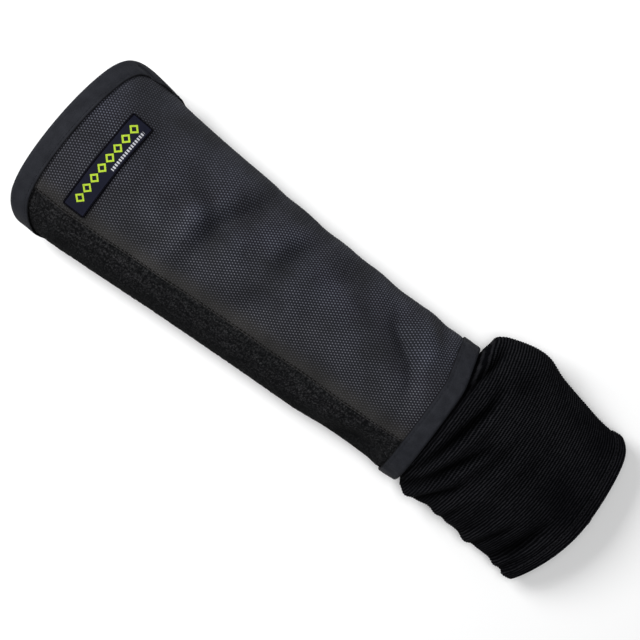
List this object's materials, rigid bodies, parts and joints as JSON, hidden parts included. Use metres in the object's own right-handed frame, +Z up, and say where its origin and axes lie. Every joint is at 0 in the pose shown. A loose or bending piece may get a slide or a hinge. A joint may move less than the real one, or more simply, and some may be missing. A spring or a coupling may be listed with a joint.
{
  "type": "cut resistant sleeve",
  "caption": "Forearm guard sleeve that lies flat: a tapered tube of thick woven cloth with a slanted, taped upper edge, a taped wrist edge and a long knitted cuff.",
  "frame": {"origin": "on the table, under the centre of the lying sleeve's box", "axes": "+X along the sleeve towards the hand, +Y across it to the side away from the seam that shows, +Z up from the table"},
  "size_m": [0.4824, 0.1506, 0.0665],
  "materials": {
    "guard_cloth": "coarse plain weave of dark grey yarn with a slight sheen",
    "under_cloth": "rough black looped cloth",
    "binding_tape": "smooth dark grey woven tape",
    "cuff_knit": "matte black rib knit",
    "label_cloth": "dark navy damask label with a lime and white stripe design"
  },
  "bodies": {
    "root": {"outer_panel": "guard_cloth", "under_panel": "under_cloth", "rim_binding": "binding_tape", "wrist_binding": "binding_tape", "knit_cuff": "cuff_knit", "label": "label_cloth"}
  },
  "joints": []
}
